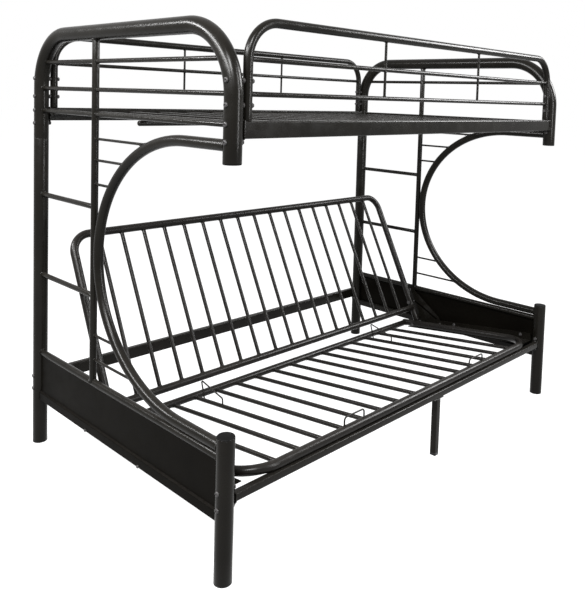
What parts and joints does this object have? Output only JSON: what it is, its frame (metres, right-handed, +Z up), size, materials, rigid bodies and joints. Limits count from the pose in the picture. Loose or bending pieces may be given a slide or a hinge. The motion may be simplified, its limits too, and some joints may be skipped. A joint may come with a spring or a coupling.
{
  "type": "futon bunk bed frame",
  "caption": "Tubular steel bunk bed frame: a raised slatted deck inside guard rails over a sofa frame whose seat slides out while its back folds down flat.",
  "frame": {"origin": "on the floor under the middle of the bed, half way between its ends and between front and rear posts", "axes": "+X along the bed to its right end as seen from the front, +Y to the rear side where the sofa's back leans, +Z up"},
  "size_m": [2.0158, 1.2247, 1.6433],
  "materials": {
    "frame_paint": "semi-gloss black powder coat",
    "deck_paint": "satin black powder coat",
    "plastic_caps": "matte black",
    "fasteners": "blackened steel"
  },
  "bodies": {
    "frame": {"end_bow_left": "frame_paint", "rear_post_left": "frame_paint", "front_post_left": "frame_paint", "c_tube_left": "frame_paint", "mid_post_left": "frame_paint", "end_guard_rods_left": "frame_paint", "ladder_rungs_left": "frame_paint", "thin_rods_left": "frame_paint", "end_panel_rails_left": "frame_paint", "end_panel_left": "frame_paint", "seat_track_left": "frame_paint", "guide_plate_left": "frame_paint", "end_bow_right": "frame_paint", "rear_post_right": "frame_paint", "front_post_right": "frame_paint", "c_tube_right": "frame_paint", "mid_post_right": "frame_paint", "end_guard_rods_right": "frame_paint", "ladder_rungs_right": "frame_paint", "thin_rods_right": "frame_paint", "end_panel_rails_right": "frame_paint", "end_panel_right": "frame_paint", "seat_track_right": "frame_paint", "guide_plate_right": "frame_paint", "foot_caps": "plastic_caps", "post_caps": "plastic_caps", "centre_leg_foot": "plastic_caps", "post_spigots": "frame_paint", "upper_front_rail": "frame_paint", "upper_rear_rail": "frame_paint", "lower_rear_rail": "frame_paint", "lower_front_rail": "frame_paint", "front_guard_hoop": "frame_paint", "front_guard_rods": "frame_paint", "rear_guard_hoop": "frame_paint", "rear_guard_rods": "frame_paint", "centre_leg": "frame_paint", "upper_deck_ledges": "deck_paint", "upper_deck_slats": "deck_paint", "upper_deck_bar": "deck_paint", "upper_rail_bolts": "fasteners", "lower_rail_bolts": "fasteners", "guard_bolts": "fasteners", "track_bolts": "fasteners", "panel_screws": "fasteners", "guard_spacers": "frame_paint", "track_spacers": "frame_paint"},
    "seat": {"seat_frame": "deck_paint", "seat_slats": "deck_paint", "hinge_pin_left": "fasteners", "hinge_pin_right": "fasteners", "hinge_washers": "fasteners", "front_mattress_retainers": "deck_paint", "rear_mattress_retainers": "deck_paint"},
    "back": {"back_frame": "deck_paint", "back_rods": "deck_paint", "guide_pin_left": "fasteners", "guide_pin_right": "fasteners"}
  },
  "joints": [
    {"name": "seat_slide", "type": "slide", "parent": "frame", "child": "seat", "axis": [0, -0.9925, 0.1219], "range_m": [0, 0.218]},
    {"name": "back_fold", "type": "hinge", "parent": "seat", "child": "back", "pos_m": [0, 0.0982, 0.19052], "axis": [-1, 0, 0], "range_deg": [0, 56.25]}
  ],
  "couplings": [
    {"joint": "back_fold", "follows": "seat_slide", "rad_per_m": 4.5015}
  ]
}
